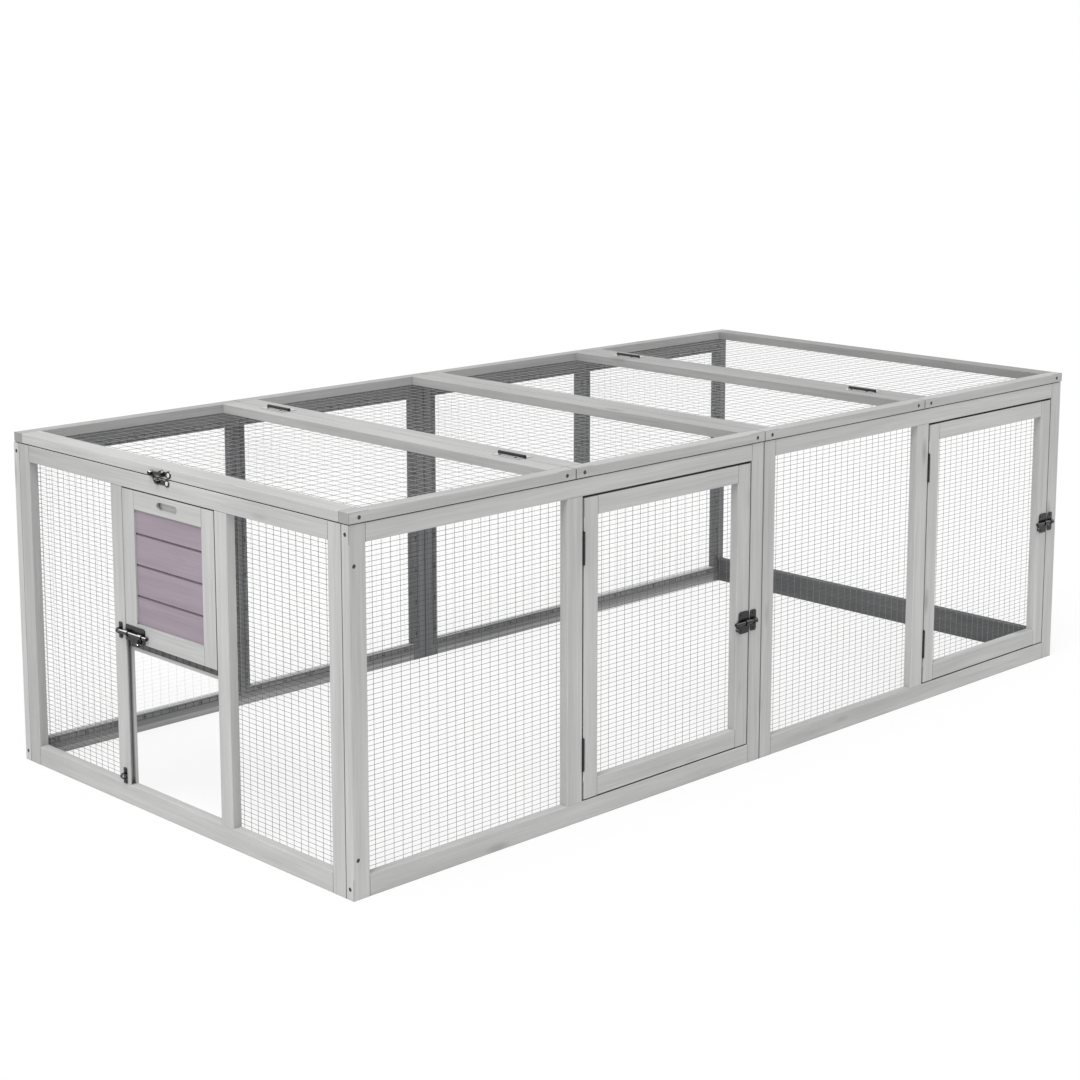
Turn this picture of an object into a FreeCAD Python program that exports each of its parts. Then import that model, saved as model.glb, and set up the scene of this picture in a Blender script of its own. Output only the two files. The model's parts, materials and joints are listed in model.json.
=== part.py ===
import FreeCAD, Part
import math
import os

# A low chicken run: two equal wooden modules in a row, with wire mesh in batten frames.
# The front wall has a hinged door in each module, one end wall has a pop door that slides
# up between grooved jambs, and the roof has a hinged lid at each end.
# Lengths are millimetres. X runs along the run, Y from the door side to the back, Z up.

# Whole run
module_length = 991.0
module_count = 2
run_width = 969.0
panel_height = 610.0

# Battens of the wall panels
batten_thickness = 18.0
stile_width = 34.0
mid_post_width = 37.0
top_rail_height = 31.0
bottom_rail_height = 36.0
plain_board_height = 55.0
edge_round = 1.2

# Roof frames
roof_panel_count = 4
roof_clearance = 0.3
roof_thickness = 18.0
roof_side_width = 26.0
roof_cross_width = 40.0
roof_front_proud = 2.0
roof_back_inset = 4.0
roof_joint_gap = 2.0

# Wire mesh, drawn coarser than the real one: each net is one holed sheet
net_thickness = 1.2
net_wire = 2.0
net_pitch_wide = 58.5
net_pitch_tall = 34.8
net_overlap = 12.0
roof_net_overlap = 16.0

# Front doors
door_hinge_gap = 3.4
door_bolt_gap = 3.0
door_top_gap = 4.0
door_bottom_gap = 2.5
door_stile_width = 34.5
door_rail_height = 33.0

# Hinges of the front doors, with both leaves folded into the gap beside the door
door_hinge_length = 57.0
door_hinge_low = 120.5
door_hinge_high = 488.0
door_barrel_radius = 2.2
door_pin_proud = 1.6
door_pin_radius = 1.1
door_leaf_thickness = 1.2
door_leaf_depth = 14.0

# Hinges of the roof lids, with both leaves flat on the roof
roof_hinge_length = 66.0
roof_hinge_inset = 155.0
roof_barrel_radius = 3.2
roof_pin_radius = 1.5
roof_leaf_thickness = 1.5
roof_leaf_width = 18.0

# All hinges
knuckle_count = 5
knuckle_clearance = 0.2
leaf_clearance = 0.4
pin_clearance = 0.05
pin_head_height = 0.8
pin_head_share = 0.8
leaf_screw_share = 0.3

# Barrel bolts of the front doors and the pop door, drawn back at rest
bolt_plate_thickness = 1.5
bolt_rod_radius = 3.5
bolt_clearance = 0.3
bolt_strap_wall = 1.4
bolt_stem_radius = 2.0
bolt_ball_radius = 3.4
bolt_plate_inset = 0.5
bolt_tip_clearance = 1.0
bolt_screw_share = 0.36

# Front door bolts
door_bolt_width = 28.0
door_bolt_height = 42.0
door_bolt_corner = 6.0
door_strap_width = 14.0
door_rod_length = 48.5
door_stem_from_tip = 44.5
door_ball_drop = 10.5
door_keeper_inset = 1.0
door_keeper_width = 16.0
door_keeper_height = 40.0
door_keeper_corner = 4.0
door_staple_width = 8.0
left_bolt_level = 276.0
right_bolt_level = 307.0

# Pop door bolt
pop_bolt_width = 58.0
pop_bolt_height = 28.0
pop_bolt_corner = 1.5
pop_strap_end_inset = 2.0
pop_far_strap_width = 9.0
pop_near_strap_width = 12.0
pop_rod_length = 82.0
pop_stem_from_tip = 55.0
pop_ball_drop = 16.5
pop_keeper_reach = 11.0
pop_keeper_width = 10.0
pop_keeper_height = 29.0
pop_keeper_corner = 2.0
pop_staple_width = 5.0

# Hook latches of the lids: a hook on a rivet catches a post on the wall below
hook_plate_thickness = 1.5
hook_lift = 0.5
hook_thickness = 2.4
hook_from_front = 494.0
hook_pivot_up = 8.0
hook_hub_radius = 6.0
hook_rivet_radius = 2.0
hook_rivet_head_radius = 3.6
hook_rivet_head_height = 1.2
hook_head_clearance = 0.3
hook_arm_length = 30.0
hook_arm_width = 5.0
hook_knob_radius = 4.5
hook_knob_height = 4.0
hook_knob_round = 2.0
hook_claw_width = 2.5
hook_claw_clearance = 0.4
hook_claw_sweep = 38.0
hook_closed_angle = -22.0
hook_rest_turn = 18.0
hook_ear_radius = 6.5
hook_ear_hole_radius = 2.5
hook_ear_reach = 19.0
hook_web_width = 8.0
catch_post_radius = 2.5
catch_post_head_radius = 3.4
catch_post_along = 13.0
catch_post_down = 15.2
catch_ear_back = 27.0
catch_pad_radius = 5.5

# Pop door and the jambs that it slides in
jamb_width = 33.0
pop_opening_width = 271.0
jamb_lip = 3.0
jamb_groove = 9.0
jamb_groove_depth = 8.0
pop_side_gap = 2.0
pop_tongue = 8.0
pop_lip_gap = 0.3
pop_net_gap = 0.4
pop_door_height = 272.0
pop_top_gap = 2.0
pop_bottom_gap = 1.0
pop_stile_width = 35.0
pop_top_rail_height = 33.0
pop_bottom_rail_height = 34.0
pop_slat_count = 4
pop_slat_height = 55.5
pop_low_slat_height = 58.0
pop_slat_recess = 3.4
pop_slat_rebate = 8.0
pop_slat_chamfer = 2.2
finger_slot_length = 59.0
finger_slot_height = 14.0
finger_slot_depth = 7.0
finger_round_share = 0.49
mid_rail_bottom = 283.0
mid_rail_height = 41.0
mid_rail_net_overlap = 34.0

# Wood screws, sunk a little below the face
screw_head_radius = 3.4
screw_head_height = 1.6
screw_shank_radius = 1.9
screw_length = 44.0
screw_sink = 0.6
screw_clearance = 0.1
face_screw_from_edge = 10.0
face_screw_from_end = 66.0
joining_screw_from_end = 150.0

# Small round heads of the screws in plates and leaves
plate_screw_radius = 2.4
plate_screw_height = 0.8

# How far cuts run past a face
cut_overrun = 5.0

# Worked out from the sizes above
run_length = module_length * module_count
roof_panel_length = run_length / roof_panel_count
bay_width = (module_length - 2 * stile_width - mid_post_width) / 2
rail_length = module_length - 2 * stile_width
opening_height = panel_height - top_rail_height - bottom_rail_height
end_width = run_width - 2 * batten_thickness
end_front = batten_thickness
end_back = run_width - batten_thickness
roof_bottom = panel_height + roof_clearance + net_thickness
roof_top = roof_bottom + roof_thickness
roof_front = -roof_front_proud
roof_back = run_width - roof_back_inset
bolt_axis_lift = bolt_plate_thickness + bolt_clearance + bolt_rod_radius
bolt_strap_radius = bolt_rod_radius + bolt_clearance + bolt_strap_wall
bolt_proud = bolt_axis_lift + bolt_strap_radius
hook_low = hook_plate_thickness + hook_lift
hook_high = hook_low + hook_thickness
pop_back = jamb_lip + jamb_groove - net_thickness - pop_net_gap

# The run is drawn from its front left corner and moved so that the origin is below its middle
corner_to_origin = FreeCAD.Vector((bolt_proud - run_length) / 2, (bolt_proud - run_width) / 2, 0)

axis_x = FreeCAD.Vector(1, 0, 0)
axis_y = FreeCAD.Vector(0, 1, 0)
axis_z = FreeCAD.Vector(0, 0, 1)
parallel_share = 0.9


def write(name, solids):
    """Write one node as a group of separate solids."""
    group = Part.makeCompound(solids)
    group.translate(corner_to_origin)
    group.exportStep("parts/" + name + ".step")


def edges_along(shape, axis):
    return [edge for edge in shape.Edges
            if abs(edge.tangentAt(edge.FirstParameter).dot(axis)) > parallel_share]


def block(x, y, z, dx, dy, dz):
    return Part.makeBox(dx, dy, dz, FreeCAD.Vector(x, y, z))


def batten(x, y, z, dx, dy, dz, axis):
    """A planed batten: a bar with its four long edges eased."""
    bar = block(x, y, z, dx, dy, dz)
    return bar.makeFillet(edge_round, edges_along(bar, axis))


def cylinder(base, axis, radius, length):
    return Part.makeCylinder(radius, length, base, axis)


def rounded_plate(x, y, z, width, height, thickness, corner):
    """A flat plate centred on x, y with round corners."""
    plate = block(x - width / 2, y - height / 2, z, width, height, thickness)
    return plate.makeFillet(corner, edges_along(plate, axis_z))


def placed(shape, origin, along, outward):
    """Turn a piece drawn with +X along and +Z outward, and put it at origin."""
    across = outward.cross(along)
    matrix = FreeCAD.Matrix(along.x, across.x, outward.x, origin.x,
                            along.y, across.y, outward.y, origin.y,
                            along.z, across.z, outward.z, origin.z,
                            0, 0, 0, 1)
    copy = shape.copy()
    copy.Placement = FreeCAD.Placement(matrix)
    return copy


# Screws and their holes

def screw(point, inward):
    seat = point + inward * screw_sink
    head = cylinder(seat, inward, screw_head_radius, screw_head_height)
    shank = cylinder(seat, inward, screw_shank_radius, screw_length)
    return head.fuse(shank)


def screw_hole(point, inward):
    mouth = cylinder(point - inward * cut_overrun, inward, screw_head_radius + screw_clearance,
                     cut_overrun + screw_sink + screw_head_height)
    bore = cylinder(point, inward, screw_shank_radius + screw_clearance,
                    screw_sink + screw_length + screw_clearance)
    return mouth.fuse(bore)


def drilled(bars, places):
    """Cut the hole of each screw that passes through a bar."""
    holes = [screw_hole(point, inward) for point, inward in places]
    result = []
    for bar in bars:
        for hole in holes:
            if bar.BoundBox.intersect(hole.BoundBox):
                bar = bar.cut(hole).Solids[0]
        result.append(bar)
    return result


def write_battens(name, bars, places):
    write(name, drilled(bars, places))


# Wire mesh

def net(x, y, z, dx, dy, thin):
    """One holed sheet from x, y, z, wide in dx and dy, lying in the plane across thin."""
    if thin is axis_z:
        wide, tall = axis_x, axis_y
    elif thin is axis_y:
        wide, tall = axis_x, axis_z
    else:
        wide, tall = axis_y, axis_z
    columns = max(1, round(dx / net_pitch_wide))
    rows = max(1, round(dy / net_pitch_tall))
    gap_wide = (dx - net_wire * (columns + 1)) / columns
    gap_tall = (dy - net_wire * (rows + 1)) / rows
    corner = FreeCAD.Vector(x, y, z)

    def loop(a, b, width, height):
        low = corner + wide * a + tall * b
        points = [low, low + wide * width, low + wide * width + tall * height, low + tall * height, low]
        return Part.makePolygon(points)

    wires = [loop(0, 0, dx, dy)]
    for column in range(columns):
        for row in range(rows):
            wires.append(loop(net_wire + column * (gap_wide + net_wire),
                              net_wire + row * (gap_tall + net_wire), gap_wide, gap_tall))
    sheet = Part.Face(wires[0]).cut([Part.Face(wire) for wire in wires[1:]])
    return sheet.Faces[0].extrude(thin * net_thickness)


# Hinges: drawn with the pin along +Z and the moving leaf on the side +X

def knuckle_ring(length, index, radius):
    pitch = length / knuckle_count
    return cylinder(axis_z * (index * pitch + knuckle_clearance / 2), axis_z, radius,
                    pitch - knuckle_clearance)


def leaf(length, radius, pin_radius, first, plate, web):
    """Fuse a leaf's plate with its own knuckles, every second one from first."""
    pitch = length / knuckle_count
    shape = plate
    for index in range(first, knuckle_count, 2):
        low = index * pitch + knuckle_clearance / 2
        x, y, dx, dy = web
        shape = shape.fuse(block(x, y, low, dx, dy, pitch - knuckle_clearance))
        shape = shape.fuse(knuckle_ring(length, index, radius))
    bore = cylinder(-axis_z * cut_overrun, axis_z, pin_radius + pin_clearance, length + 2 * cut_overrun)
    return shape.cut(bore).removeSplitter().Solids[0]


def hinge_pin(length, radius, pin_radius):
    head_radius = radius * pin_head_share
    pin = cylinder(-axis_z * pin_head_height, axis_z, pin_radius, length + 2 * pin_head_height)
    low = cylinder(-axis_z * pin_head_height, axis_z, head_radius, pin_head_height)
    high = cylinder(axis_z * length, axis_z, head_radius, pin_head_height)
    return pin.fuse([low, high])


def folded_hinge():
    """Both leaves stand in the gap beside the door, which runs along +Y from the pin."""
    start = door_barrel_radius + leaf_clearance
    half_gap = door_hinge_gap / 2
    size = (door_leaf_thickness, door_leaf_depth - start, door_hinge_length)
    moving_x = half_gap - door_leaf_thickness
    fixed = leaf(door_hinge_length, door_barrel_radius, door_pin_radius, 0,
                 block(-half_gap, start, 0, *size), (-half_gap, 0, door_leaf_thickness, start))
    moving = leaf(door_hinge_length, door_barrel_radius, door_pin_radius, 1,
                  block(moving_x, start, 0, *size), (moving_x, 0, door_leaf_thickness, start))
    return fixed, moving, hinge_pin(door_hinge_length, door_barrel_radius, door_pin_radius)


def flat_hinge():
    """Both leaves lie on a face that touches the barrel from below, at the side -Y."""
    start = roof_barrel_radius + leaf_clearance
    low = -roof_barrel_radius
    width = roof_leaf_width - start
    fixed = leaf(roof_hinge_length, roof_barrel_radius, roof_pin_radius, 0,
                 block(-roof_leaf_width, low, 0, width, roof_leaf_thickness, roof_hinge_length),
                 (-start, low, start, roof_leaf_thickness))
    moving = leaf(roof_hinge_length, roof_barrel_radius, roof_pin_radius, 1,
                  block(start, low, 0, width, roof_leaf_thickness, roof_hinge_length),
                  (0, low, start, roof_leaf_thickness))
    return fixed, moving, hinge_pin(roof_hinge_length, roof_barrel_radius, roof_pin_radius)


def leaf_screws(side):
    """Two screw heads on top of a flat leaf."""
    x = side * (roof_leaf_width + roof_barrel_radius) / 2
    y = roof_leaf_thickness - roof_barrel_radius
    middle = roof_hinge_length / 2
    return [cylinder(FreeCAD.Vector(x, y, middle + step * roof_hinge_length * leaf_screw_share),
                     axis_y, plate_screw_radius, plate_screw_height) for step in (-1, 1)]


# Barrel bolts: drawn on a face at Z zero, with the keeper towards +X

def plate_screws(x, height):
    """Two screw heads near the ends of a plate that is long in Y."""
    return [cylinder(FreeCAD.Vector(x, step * height * bolt_screw_share, bolt_plate_thickness), axis_z,
                     plate_screw_radius, plate_screw_height) for step in (-1, 1)]


def strapped(plate, start, width):
    """Add an arch of strap over the rod, from X start, to a plate."""
    legs = block(start, -bolt_strap_radius, 0, width, 2 * bolt_strap_radius, bolt_axis_lift)
    arch = cylinder(FreeCAD.Vector(start, 0, bolt_axis_lift), axis_x, bolt_strap_radius, width)
    shape = plate.fuse([legs, arch])
    bore = cylinder(FreeCAD.Vector(start - cut_overrun, 0, bolt_axis_lift), axis_x,
                    bolt_rod_radius + bolt_clearance, width + 2 * cut_overrun)
    return shape.cut(bore).removeSplitter().Solids[0]


def bolt_keeper(x, width, height, corner, staple_width):
    """A plate with a staple over its middle and two screws, centred on X x."""
    plate = rounded_plate(x, 0, 0, width, height, bolt_plate_thickness, corner)
    return [strapped(plate, x - staple_width / 2, staple_width)] + plate_screws(x, height)


def bolt_rod(tip, length, stem_from_tip, ball_drop, down):
    """The rod with its hanging knob, with the end of the rod at X tip."""
    rod = cylinder(FreeCAD.Vector(tip - length, 0, bolt_axis_lift), axis_x, bolt_rod_radius, length)
    root = FreeCAD.Vector(tip - stem_from_tip, 0, bolt_axis_lift)
    stem = cylinder(root, down, bolt_stem_radius, ball_drop)
    ball = Part.makeSphere(bolt_ball_radius, root + down * ball_drop)
    return rod.fuse([stem, ball]).removeSplitter().Solids[0]


# Hook latches: drawn on a face at Z zero round the pivot, with +Y up and the arm towards side

def bar_between(first, second, width, low, thickness):
    """A flat bar with square ends between two points of the face."""
    run = second - first
    bar = block(0, -width / 2, 0, run.Length, width, thickness)
    bar.rotate(FreeCAD.Vector(), axis_z, math.degrees(math.atan2(run.y, run.x)))
    bar.translate(first + axis_z * low)
    return bar


def ring_plate(ear, pad, pad_radius):
    """A plate with a screw ear at one end and a round pad at the other."""
    shape = bar_between(ear, pad, hook_web_width, 0, hook_plate_thickness)
    shape = shape.fuse([cylinder(ear, axis_z, hook_ear_radius, hook_plate_thickness),
                        cylinder(pad, axis_z, pad_radius, hook_plate_thickness)])
    return shape.cut(cylinder(ear - axis_z * cut_overrun, axis_z, hook_ear_hole_radius, 2 * cut_overrun))


def hook_plate(side):
    """The lid's plate with the rivet that the hook turns on."""
    pivot = FreeCAD.Vector()
    plate = ring_plate(FreeCAD.Vector(-side * hook_ear_reach, 0, 0), pivot, hook_hub_radius)
    shank_top = hook_high + hook_head_clearance
    rivet = cylinder(pivot, axis_z, hook_rivet_radius, shank_top)
    head = cylinder(axis_z * shank_top, axis_z, hook_rivet_head_radius, hook_rivet_head_height)
    return plate.fuse([rivet, head]).removeSplitter().Solids[0]


def catch_place(side):
    return FreeCAD.Vector(side * catch_post_along, -catch_post_down, 0)


def hook_catch(side):
    """The wall's plate with the headed post."""
    foot = catch_place(side)
    plate = ring_plate(foot - axis_x * (side * catch_ear_back), foot, catch_pad_radius)
    shank_top = hook_high + hook_head_clearance
    post = cylinder(foot, axis_z, catch_post_radius, shank_top)
    head = cylinder(foot + axis_z * shank_top, axis_z, catch_post_head_radius, hook_rivet_head_height)
    return plate.fuse([post, head]).removeSplitter().Solids[0]


def hook(side):
    """The hook, turned up from its post by the rest turn."""
    arm_angle = hook_closed_angle + hook_rest_turn

    def polar(radius, angle):
        turn = math.radians(angle)
        return FreeCAD.Vector(side * radius * math.cos(turn), radius * math.sin(turn), hook_low)

    inner = catch_place(side).Length + catch_post_radius + hook_claw_clearance
    outer = inner + hook_claw_width
    end = arm_angle - hook_claw_sweep
    middle = (arm_angle + end) / 2
    outline = [Part.Arc(polar(outer, arm_angle), polar(outer, middle), polar(outer, end)).toShape(),
               Part.makeLine(polar(outer, end), polar(inner, end)),
               Part.Arc(polar(inner, end), polar(inner, middle), polar(inner, arm_angle)).toShape(),
               Part.makeLine(polar(inner, arm_angle), polar(outer, arm_angle))]
    claw = Part.Face(Part.Wire(outline)).extrude(axis_z * hook_thickness)
    tip = polar(hook_arm_length, arm_angle)
    arm = bar_between(axis_z * 0, tip - axis_z * hook_low, hook_arm_width, hook_low, hook_thickness)
    hub = cylinder(axis_z * hook_low, axis_z, hook_hub_radius, hook_thickness)
    knob = cylinder(tip, axis_z, hook_knob_radius, hook_thickness + hook_knob_height)
    rims = [edge for edge in knob.Edges if edge.BoundBox.ZMin > hook_high]
    knob = knob.makeFillet(hook_knob_round, rims)
    bore = cylinder(axis_z * (hook_low - cut_overrun), axis_z, hook_rivet_radius + pin_clearance,
                    hook_thickness + 2 * cut_overrun)
    return arm.fuse([claw, hub, knob]).cut(bore).removeSplitter().Solids[0]


# Front and back walls

def wall_posts(face):
    """Stiles and mid posts of both modules, for a wall that starts at Y face."""
    stiles = []
    posts = []
    for module in range(module_count):
        left = module * module_length
        for x in (left, left + module_length - stile_width):
            stiles.append(batten(x, face, 0, stile_width, batten_thickness, panel_height, axis_z))
        posts.append(batten(left + stile_width + bay_width, face, bottom_rail_height, mid_post_width,
                            batten_thickness, opening_height, axis_z))
    return stiles, posts


def wall_rails(face):
    rails = []
    for module in range(module_count):
        x = module * module_length + stile_width
        rails.append(batten(x, face, 0, rail_length, batten_thickness, bottom_rail_height, axis_x))
        rails.append(batten(x, face, panel_height - top_rail_height, rail_length, batten_thickness,
                            top_rail_height, axis_x))
    return rails


def bay_net(x, y):
    """Mesh over one bay that starts at X x, lapped over the battens round it."""
    return net(x - net_overlap, y, bottom_rail_height - net_overlap, bay_width + 2 * net_overlap,
               opening_height + 2 * net_overlap, axis_y)


def wall_screw_places():
    """Screws through the outer stiles into the rails, and through walls into the pop door end."""
    places = []
    levels = (bottom_rail_height / 2, panel_height - top_rail_height / 2)
    for x, inward in ((0, axis_x), (run_length, -axis_x)):
        for y in (batten_thickness / 2, run_width - batten_thickness / 2):
            places += [(FreeCAD.Vector(x, y, z), inward) for z in levels]
    for y, inward in ((0, axis_y), (run_width, -axis_y)):
        for z in (face_screw_from_end, panel_height - face_screw_from_end):
            places.append((FreeCAD.Vector(face_screw_from_edge, y, z), inward))
    for y in (batten_thickness / 2, run_width - batten_thickness / 2):
        for z in (joining_screw_from_end, panel_height - joining_screw_from_end):
            places.append((FreeCAD.Vector(module_length - stile_width, y, z), axis_x))
    return places


def make_walls(places):
    back = run_width - batten_thickness
    stiles, posts = wall_posts(0)
    write_battens("front_stiles", stiles, places)
    write_battens("front_mid_posts", posts, places)
    write_battens("front_rails", wall_rails(0), places)
    stiles, posts = wall_posts(back)
    write_battens("back_posts", stiles + posts, places)
    write_battens("back_rails", wall_rails(back), places)
    write("front_left_net", [bay_net(stile_width, batten_thickness)])
    write("front_right_net", [bay_net(module_length + stile_width, batten_thickness)])
    back_bays = []
    for module in range(module_count):
        left = module * module_length + stile_width
        back_bays += [left, left + bay_width + mid_post_width]
    write("back_nets", [bay_net(x, back - net_thickness) for x in back_bays])


# End walls

def end_stiles():
    return [batten(0, y, 0, batten_thickness, stile_width, panel_height, axis_z)
            for y in (end_front, end_back - stile_width)]


def end_rail(z, height):
    return batten(0, end_front + stile_width, z, batten_thickness, end_width - 2 * stile_width, height,
                  axis_y)


def jamb_faces():
    """The Y of the two jamb faces that look at the pop door."""
    middle = run_width / 2
    return middle - pop_opening_width / 2, middle + pop_opening_width / 2


def jambs():
    low, high = jamb_faces()
    front = batten(0, low - jamb_width, bottom_rail_height, batten_thickness, jamb_width, opening_height,
                   axis_z)
    back = batten(0, high, bottom_rail_height, batten_thickness, jamb_width, opening_height, axis_z)
    tall = opening_height + 2 * cut_overrun
    start = bottom_rail_height - cut_overrun
    deep = jamb_groove_depth + cut_overrun
    front = front.cut(block(jamb_lip, low - jamb_groove_depth, start, jamb_groove, deep, tall))
    back = back.cut(block(jamb_lip, high - cut_overrun, start, jamb_groove, deep, tall))
    return front.Solids[0], back.Solids[0]


def make_pop_end(places):
    low, high = jamb_faces()
    write_battens("pop_end_stiles", end_stiles(), places)
    top_rail = end_rail(panel_height - top_rail_height, top_rail_height)
    write("pop_end_rails", [end_rail(0, bottom_rail_height), top_rail])
    write("pop_end_jambs", list(jambs()))
    rail_x = jamb_lip + jamb_groove
    write("pop_end_mid_rail", [batten(rail_x, low, mid_rail_bottom, batten_thickness - rail_x,
                                      pop_opening_width, mid_rail_height, axis_y)])
    side = low - jamb_width - end_front - stile_width + 2 * net_overlap
    tall = opening_height + 2 * net_overlap
    bottom = bottom_rail_height - net_overlap
    write("pop_end_front_net", [net(batten_thickness, end_front + stile_width - net_overlap, bottom, side,
                                    tall, axis_x)])
    write("pop_end_back_net", [net(batten_thickness, high + jamb_width - net_overlap, bottom, side, tall,
                                   axis_x)])
    lap = jamb_groove_depth / 2
    net_bottom = mid_rail_bottom + mid_rail_height - mid_rail_net_overlap
    net_top = panel_height - top_rail_height
    write("pop_door_upper_net", [net(rail_x - net_thickness, low - lap, net_bottom,
                                     pop_opening_width + 2 * lap, net_top - net_bottom, axis_x)])


def make_plain_end():
    """The end with no panel, only a board on the ground between the front and back stiles."""
    x = run_length - batten_thickness
    write("plain_end_bottom_board", [batten(x, end_front, 0, batten_thickness, end_width, plain_board_height,
                                            axis_y)])


# Roof

def roof_span(index):
    """Start and end along X of one roof frame, with half a joint gap at each inner end."""
    start = index * roof_panel_length + (roof_joint_gap / 2 if index > 0 else 0)
    last = index == roof_panel_count - 1
    end = (index + 1) * roof_panel_length - (0 if last else roof_joint_gap / 2)
    return start, end


def roof_side_rails(index):
    start, end = roof_span(index)
    return [batten(start, y, roof_bottom, end - start, roof_side_width, roof_thickness, axis_x)
            for y in (roof_front, roof_back - roof_side_width)]


def roof_cross_rails(index):
    start, end = roof_span(index)
    y = roof_front + roof_side_width
    length = roof_back - roof_front - 2 * roof_side_width
    return [batten(x, y, roof_bottom, roof_cross_width, length, roof_thickness, axis_y)
            for x in (start, end - roof_cross_width)]


def roof_screw_places(index):
    """Screws through the side rails into the middle of each cross rail's end."""
    start, end = roof_span(index)
    z = roof_bottom + roof_thickness / 2
    places = []
    for x in (start + roof_cross_width / 2, end - roof_cross_width / 2):
        places.append((FreeCAD.Vector(x, roof_front, z), axis_y))
        places.append((FreeCAD.Vector(x, roof_back, z), -axis_y))
    return places


def roof_net(index):
    start, end = roof_span(index)
    inset = roof_cross_width - roof_net_overlap
    side = roof_side_width - roof_net_overlap
    return net(start + inset, roof_front + side, roof_bottom - net_thickness, end - start - 2 * inset,
               roof_back - roof_front - 2 * side, axis_z)


def make_fixed_roof():
    frames = range(1, roof_panel_count - 1)
    places = []
    sides = []
    crosses = []
    for index in frames:
        places += roof_screw_places(index)
        sides += roof_side_rails(index)
        crosses += roof_cross_rails(index)
    write_battens("fixed_roof_side_rails", sides, places)
    write_battens("fixed_roof_cross_rails", crosses, places)
    write("fixed_roof_nets", [roof_net(index) for index in frames])
    return places


def make_lid(name, index):
    """A hinged roof frame."""
    places = roof_screw_places(index)
    write_battens(name + "_side_rails", roof_side_rails(index), places)
    write_battens(name + "_cross_rails", roof_cross_rails(index), places)
    write(name + "_net", [roof_net(index)])
    write(name + "_screws", [screw(point, inward) for point, inward in places])


def make_lid_hook():
    """The hook latch that holds the lid over the pop door end, and its catch on the wall."""
    pivot = FreeCAD.Vector(0, hook_from_front, roof_bottom + hook_pivot_up)
    side = -1
    along = axis_y * side
    write("roof_lid_left_hook_plate", [placed(hook_plate(side), pivot, along, -axis_x)])
    write("roof_lid_left_hook", [placed(hook(side), pivot, along, -axis_x)])
    write("hook_catch", [placed(hook_catch(side), pivot, along, -axis_x)])


def make_lid_hinges(name, joint, lid_side):
    """Two flat hinges on the roof at one joint; lid_side is -1 where the lid lies to the left."""
    fixed, moving, pin = flat_hinge()
    fixed_leaves = []
    moving_leaves = []
    pins = []
    z = roof_top + roof_barrel_radius
    along = axis_x * lid_side
    down_the_pin = axis_x.cross(axis_z) * lid_side
    for y in (roof_hinge_inset, run_width - roof_hinge_inset):
        start = y - down_the_pin.y * roof_hinge_length / 2
        origin = FreeCAD.Vector(joint, start, z)
        for solid in [fixed] + leaf_screws(-1):
            fixed_leaves.append(placed(solid, origin, along, down_the_pin))
        for solid in [moving] + leaf_screws(1):
            moving_leaves.append(placed(solid, origin, along, down_the_pin))
        pins.append(placed(pin, origin, along, down_the_pin))
    write(name + "_hinge_leaves", moving_leaves)
    return fixed_leaves, pins


# Front doors

def make_front_door(name, module, bolt_level):
    opening = module * module_length + stile_width + bay_width + mid_post_width
    left = opening + door_hinge_gap
    width = bay_width - door_hinge_gap - door_bolt_gap
    bottom = bottom_rail_height + door_bottom_gap
    height = opening_height - door_bottom_gap - door_top_gap
    stiles = [batten(x, 0, bottom, door_stile_width, batten_thickness, height, axis_z)
              for x in (left, left + width - door_stile_width)]
    write(name + "_stiles", stiles)
    rail_width = width - 2 * door_stile_width
    rails = [batten(left + door_stile_width, 0, z, rail_width, batten_thickness, door_rail_height, axis_x)
             for z in (bottom, bottom + height - door_rail_height)]
    write(name + "_rails", rails)
    net_x = left + door_stile_width - net_overlap
    net_z = bottom + door_rail_height - net_overlap
    write(name + "_net", [net(net_x, batten_thickness, net_z, rail_width + 2 * net_overlap,
                              height - 2 * door_rail_height + 2 * net_overlap, axis_y)])
    fixed_leaves = []
    moving_leaves = []
    pins = []
    fixed, moving, pin = folded_hinge()
    for z in (door_hinge_low, door_hinge_high):
        origin = FreeCAD.Vector(opening + door_hinge_gap / 2, -door_pin_proud, z - door_hinge_length / 2)
        fixed_leaves.append(placed(fixed, origin, axis_x, axis_z))
        moving_leaves.append(placed(moving, origin, axis_x, axis_z))
        pins.append(placed(pin, origin, axis_x, axis_z))
    write(name + "_hinge_leaves", moving_leaves)
    plate_end = left + width - bolt_plate_inset
    origin = FreeCAD.Vector(plate_end - door_bolt_width / 2, 0, bolt_level)
    plate = rounded_plate(0, 0, 0, door_bolt_width, door_bolt_height, bolt_plate_thickness,
                          door_bolt_corner)
    plate = strapped(plate, door_bolt_width / 2 - door_strap_width, door_strap_width)
    solids = [plate] + plate_screws(-door_bolt_width / 4, door_bolt_height)
    write(name + "_bolt_plate", [placed(solid, origin, axis_x, -axis_y) for solid in solids])
    keeper_x = opening + bay_width + door_keeper_inset + door_keeper_width / 2 - origin.x
    tip = keeper_x - door_staple_width / 2 - bolt_tip_clearance
    rod = bolt_rod(tip, door_rod_length, door_stem_from_tip, door_ball_drop, -axis_y)
    write(name + "_bolt_rod", [placed(rod, origin, axis_x, -axis_y)])
    keeper = bolt_keeper(keeper_x, door_keeper_width, door_keeper_height, door_keeper_corner,
                         door_staple_width)
    keepers = [placed(solid, origin, axis_x, -axis_y) for solid in keeper]
    return fixed_leaves, pins, keepers


# Pop door, drawn raised

def pop_door_bottom():
    return panel_height - top_rail_height - pop_top_gap - pop_door_height


def slat_field():
    """Bottom and top of the slats, with the laps behind the rails."""
    bottom = pop_door_bottom()
    low = bottom + pop_bottom_rail_height - pop_slat_rebate
    high = bottom + pop_door_height - pop_top_rail_height + pop_slat_rebate
    return low, high


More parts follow.
